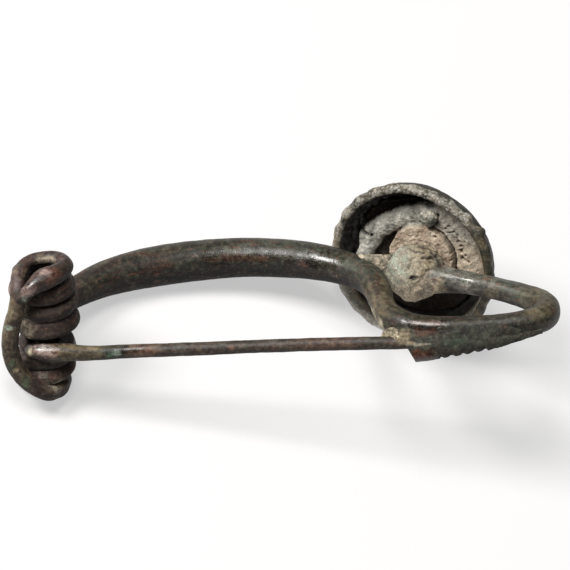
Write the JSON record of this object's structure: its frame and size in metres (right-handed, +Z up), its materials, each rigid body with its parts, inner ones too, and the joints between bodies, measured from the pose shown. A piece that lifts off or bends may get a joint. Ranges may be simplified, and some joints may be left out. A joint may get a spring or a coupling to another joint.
{
  "type": "bronze bow brooch",
  "caption": "Bronze bow brooch with a coiled spring, a straight pin closed in its catch, a looped foot and a hollow disc, lying on its bow and disc.",
  "frame": {"origin": "on the surface the brooch lies on, under the middle of its box", "axes": "+Z up from that surface; +X runs from the spring to the foot; the bow lies towards +Y and the pin towards -Y"},
  "size_m": [0.089, 0.0401, 0.0308],
  "materials": {
    "bronze": "wrought bronze with a glossy olive and brown patina and pale green crust",
    "disc_bronze": "bronze with a rough grey-green and beige corrosion crust",
    "filling": "dried, cracked beige bedding paste"
  },
  "bodies": {
    "root": {"brooch_body": "bronze", "disc_cup": "disc_bronze", "disc_filling": "filling"}
  },
  "joints": []
}
